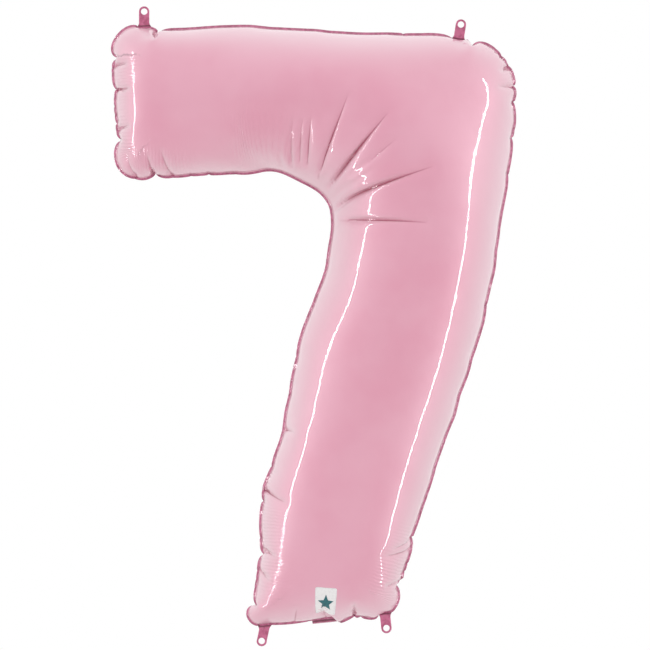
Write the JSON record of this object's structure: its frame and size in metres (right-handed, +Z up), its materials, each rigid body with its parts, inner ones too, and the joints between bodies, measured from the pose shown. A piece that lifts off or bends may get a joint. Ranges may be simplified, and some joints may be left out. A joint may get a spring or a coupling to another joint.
{
  "type": "foil number balloon",
  "caption": "Inflated film numeral seven, flat round its welded edge, with punched hanging tabs and a fill neck.",
  "frame": {"origin": "centre of the bounding box, in the plane of the weld", "axes": "+Z up the numeral, +X to the right of a reader in front of it, and the front faces -Y"},
  "size_m": [0.581, 0.2572, 0.9212],
  "materials": {
    "foil_film": "pearly pastel pink metallised film, high gloss",
    "welded_film": "deeper pink where the films are welded flat, satin with a fine pressed grain",
    "valve_film": "clear polyethylene film, slightly hazy",
    "release_ink": "thin matte heat-resistant ink"
  },
  "bodies": {
    "envelope": {"front_panel": "foil_film", "back_panel": "foil_film", "perimeter_weld": "welded_film", "valve_front_film": "valve_film", "valve_back_film": "valve_film", "valve_release_coat": "release_ink"},
    "top_left_tab": {"hang_tab_top_left_front_film": "welded_film", "hang_tab_top_left_back_film": "welded_film"},
    "top_right_tab": {"hang_tab_top_right_front_film": "welded_film", "hang_tab_top_right_back_film": "welded_film"},
    "bottom_right_tab": {"hang_tab_bottom_right_front_film": "welded_film", "hang_tab_bottom_right_back_film": "welded_film"},
    "bottom_left_tab": {"hang_tab_bottom_left_front_film": "welded_film", "hang_tab_bottom_left_back_film": "welded_film"},
    "fill_neck": {"fill_neck_front_film": "foil_film", "fill_neck_back_film": "foil_film"}
  },
  "joints": [
    {"name": "top_left_tab_crease", "type": "hinge", "parent": "envelope", "child": "top_left_tab", "pos_m": [-0.24586, 0, 0.43156], "axis": [0.9988, 0, 0.05], "range_deg": [-90, 90], "stiffness_Nm_per_rad": 0.0002},
    {"name": "top_right_tab_crease", "type": "hinge", "parent": "envelope", "child": "top_right_tab", "pos_m": [0.20694, 0, 0.41315], "axis": [0.9874, 0, -0.158], "range_deg": [-90, 90], "stiffness_Nm_per_rad": 0.0002},
    {"name": "bottom_right_tab_crease", "type": "hinge", "parent": "envelope", "child": "bottom_right_tab", "pos_m": [0.10085, 0, -0.41321], "axis": [-0.9947, 0, -0.1025], "range_deg": [-90, 90], "stiffness_Nm_per_rad": 0.0002},
    {"name": "bottom_left_tab_crease", "type": "hinge", "parent": "envelope", "child": "bottom_left_tab", "pos_m": [-0.07181, 0, -0.43101], "axis": [-0.9947, 0, -0.1025], "range_deg": [-90, 90], "stiffness_Nm_per_rad": 0.0002},
    {"name": "fill_neck_crease", "type": "hinge", "parent": "envelope", "child": "fill_neck", "pos_m": [0.01452, 0, -0.42211], "axis": [-0.9947, 0, -0.1025], "range_deg": [-3, 185], "stiffness_Nm_per_rad": 0.0008}
  ]
}
